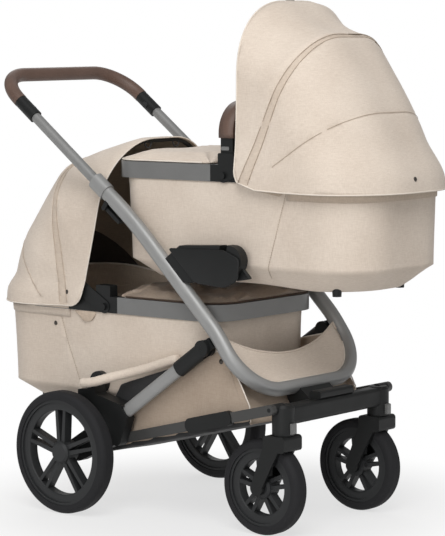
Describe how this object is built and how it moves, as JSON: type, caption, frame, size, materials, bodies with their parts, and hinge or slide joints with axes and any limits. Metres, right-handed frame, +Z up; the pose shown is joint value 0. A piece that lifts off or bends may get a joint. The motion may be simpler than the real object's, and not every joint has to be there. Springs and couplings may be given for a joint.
{
  "type": "twin pram",
  "caption": "Folding pram with an upper and a lower carrycot facing opposite ways, a telescopic push handle, a cloth basket, swivelling front wheels and fold-back canopies.",
  "frame": {"origin": "on the ground, under the middle of the pram's length and width", "axes": "+X the way the pram rolls forward, +Y its left side, +Z up"},
  "size_m": [1.1454, 0.603, 1.1951],
  "materials": {
    "tube_grey": "satin lacquer",
    "tube_silver": "satin anodised",
    "black_plastic": "fine grain",
    "dark_plastic": "fine grain",
    "grey_plastic": "satin",
    "tyre_rubber": "matt rubber",
    "beige_cloth": "woven linen look",
    "umber_cloth": "smooth coated cloth",
    "brown_leatherette": "stitched wrap",
    "mattress_cover": "quilted cotton"
  },
  "bodies": {
    "chassis": {"main_tube_right": "tube_grey", "main_tube_left": "tube_grey", "front_hoop": "tube_grey", "tube_collars": "dark_plastic", "leg_hinge_lugs": "black_plastic", "front_beam": "black_plastic", "beam_cover": "black_plastic", "hoop_mount": "black_plastic", "upper_adapters": "black_plastic", "basket": "beige_cloth", "basket_rolls": "beige_cloth", "front_scoop": "beige_cloth"},
    "push_handle": {"handle_tube": "tube_silver", "handle_grip": "brown_leatherette", "handle_sleeves": "black_plastic"},
    "button_right": {"handle_button_right": "dark_plastic"},
    "button_left": {"handle_button_left": "dark_plastic"},
    "lever_right": {"fold_lever_right": "black_plastic"},
    "lever_left": {"fold_lever_left": "black_plastic"},
    "rear_frame": {"leg_tubes": "tube_grey", "leg_fittings": "black_plastic", "rear_axle": "black_plastic", "lower_adapters": "black_plastic"},
    "rear_rail_pair": {"rear_rails": "tube_grey"},
    "front_rail_pair": {"front_rails": "tube_grey", "rail_sleeves": "black_plastic"},
    "brake": {"brake_pedal": "black_plastic"},
    "rear_wheel_right": {"rear_tyre_right": "tyre_rubber", "rear_rim_right": "dark_plastic"},
    "rear_wheel_left": {"rear_tyre_left": "tyre_rubber", "rear_rim_left": "dark_plastic"},
    "caster_right": {"fork_right": "black_plastic"},
    "caster_left": {"fork_left": "black_plastic"},
    "front_wheel_right": {"front_tyre_right": "tyre_rubber", "front_rim_right": "dark_plastic"},
    "front_wheel_left": {"front_tyre_left": "tyre_rubber", "front_rim_left": "dark_plastic"},
    "lock_right": {"swivel_lock_right": "grey_plastic"},
    "lock_left": {"swivel_lock_left": "grey_plastic"},
    "upper_cot": {"upper_rim": "grey_plastic", "upper_fittings": "black_plastic", "upper_tub": "beige_cloth", "upper_mattress": "mattress_cover", "upper_apron": "beige_cloth", "upper_canopy_back": "beige_cloth"},
    "upper_canopy_middle": {"upper_canopy_mid": "beige_cloth"},
    "upper_canopy": {"upper_canopy_front": "beige_cloth", "upper_canopy_bow": "black_plastic"},
    "carry": {"carry_handle": "black_plastic", "carry_grip": "brown_leatherette"},
    "lower_cot": {"lower_rim": "grey_plastic", "lower_fittings": "black_plastic", "lower_tub": "beige_cloth", "lower_mattress": "mattress_cover", "lower_apron": "umber_cloth", "lower_canopy_back": "beige_cloth"},
    "lower_canopy_middle": {"lower_canopy_mid": "beige_cloth"},
    "lower_canopy": {"lower_canopy_front": "beige_cloth", "lower_canopy_bow": "black_plastic"}
  },
  "joints": [
    {"name": "frame_fold", "type": "hinge", "parent": "chassis", "child": "rear_frame", "pos_m": [0.15243, 0, 0.41563], "axis": [0, -1, 0], "range_deg": [0, 50]},
    {"name": "front_rails_swing", "type": "hinge", "parent": "chassis", "child": "front_rail_pair", "pos_m": [0.338, 0, 0.292], "axis": [0, -1, 0], "range_deg": [0, 39]},
    {"name": "rear_rails_swing", "type": "hinge", "parent": "rear_frame", "child": "rear_rail_pair", "pos_m": [-0.1105, 0, 0.181], "axis": [0, -1, 0], "range_deg": [-11.5, 0]},
    {"name": "handle_height", "type": "slide", "parent": "chassis", "child": "push_handle", "axis": [-0.7986, 0, 0.6018], "range_m": [-0.08, 0.02]},
    {"name": "button_right_press", "type": "slide", "parent": "push_handle", "child": "button_right", "axis": [0, -1, 0], "range_m": [0, 0.002], "stiffness_N_per_m": 500, "springref_m": -0.002},
    {"name": "button_left_press", "type": "slide", "parent": "push_handle", "child": "button_left", "axis": [0, 1, 0], "range_m": [0, 0.002], "stiffness_N_per_m": 500, "springref_m": -0.002},
    {"name": "lever_right_squeeze", "type": "hinge", "parent": "chassis", "child": "lever_right", "pos_m": [-0.14943, -0.215, 0.72053], "axis": [0, 1, 0], "range_deg": [0, 25], "stiffness_Nm_per_rad": 0.3, "springref_deg": -11.46},
    {"name": "lever_left_squeeze", "type": "hinge", "parent": "chassis", "child": "lever_left", "pos_m": [-0.14943, 0.215, 0.72053], "axis": [0, 1, 0], "range_deg": [0, 25], "stiffness_Nm_per_rad": 0.3, "springref_deg": -11.46},
    {"name": "brake_press", "type": "hinge", "parent": "rear_frame", "child": "brake", "pos_m": [-0.2355, -0.14, 0.145], "axis": [0, -1, 0], "range_deg": [0, 20]},
    {"name": "rear_wheel_right_spin", "type": "hinge", "parent": "rear_frame", "child": "rear_wheel_right", "pos_m": [-0.2355, -0.2805, 0.145], "axis": [0, 1, 0], "continuous": true},
    {"name": "caster_right_turn", "type": "hinge", "parent": "chassis", "child": "caster_right", "pos_m": [0.342, -0.1775, 0.25], "axis": [0, 0, 1], "continuous": true},
    {"name": "front_wheel_right_spin", "type": "hinge", "parent": "caster_right", "child": "front_wheel_right", "pos_m": [0.2885, -0.1775, 0.1088], "axis": [0, 1, 0], "continuous": true},
    {"name": "lock_right_lift", "type": "slide", "parent": "chassis", "child": "lock_right", "axis": [0, 0, 1], "range_m": [0, 0.006]},
    {"name": "rear_wheel_left_spin", "type": "hinge", "parent": "rear_frame", "child": "rear_wheel_left", "pos_m": [-0.2355, 0.2805, 0.145], "axis": [0, 1, 0], "continuous": true},
    {"name": "caster_left_turn", "type": "hinge", "parent": "chassis", "child": "caster_left", "pos_m": [0.342, 0.1775, 0.25], "axis": [0, 0, 1], "continuous": true},
    {"name": "front_wheel_left_spin", "type": "hinge", "parent": "caster_left", "child": "front_wheel_left", "pos_m": [0.2885, 0.1775, 0.1088], "axis": [0, 1, 0], "continuous": true},
    {"name": "lock_left_lift", "type": "slide", "parent": "chassis", "child": "lock_left", "axis": [0, 0, 1], "range_m": [0, 0.006]},
    {"name": "upper_cot_lift", "type": "slide", "parent": "chassis", "child": "upper_cot", "axis": [0.225, 0, 0.9744], "range_m": [0, 0.15]},
    {"name": "lower_cot_lift", "type": "slide", "parent": "chassis", "child": "lower_cot", "axis": [-0.9925, 0, 0.1219], "range_m": [0, 0.12]},
    {"name": "carry_handle_pull", "type": "slide", "parent": "upper_cot", "child": "carry", "axis": [0, 0, 1], "range_m": [0, 0.05]},
    {"name": "upper_canopy_fold", "type": "hinge", "parent": "upper_cot", "child": "upper_canopy", "pos_m": [0.1845, 0, 0.805], "axis": [0, 1, 0], "range_deg": [0, 57]},
    {"name": "upper_canopy_middle_fold", "type": "hinge", "parent": "upper_cot", "child": "upper_canopy_middle", "pos_m": [0.1845, 0, 0.805], "axis": [0, 1, 0], "range_deg": [0, 32]},
    {"name": "lower_canopy_fold", "type": "hinge", "parent": "lower_cot", "child": "lower_canopy", "pos_m": [-0.1845, 0, 0.484], "axis": [0, -1, 0], "range_deg": [0, 58]},
    {"name": "lower_canopy_middle_fold", "type": "hinge", "parent": "lower_cot", "child": "lower_canopy_middle", "pos_m": [-0.1845, 0, 0.484], "axis": [0, -1, 0], "range_deg": [0, 38.5]}
  ],
  "couplings": [
    {"joint": "front_rails_swing", "follows": "frame_fold", "ratio": 0.774},
    {"joint": "rear_rails_swing", "follows": "frame_fold", "ratio": -0.226},
    {"joint": "upper_canopy_middle_fold", "follows": "upper_canopy_fold", "ratio": 0.56},
    {"joint": "lower_canopy_middle_fold", "follows": "lower_canopy_fold", "ratio": 0.66}
  ]
}
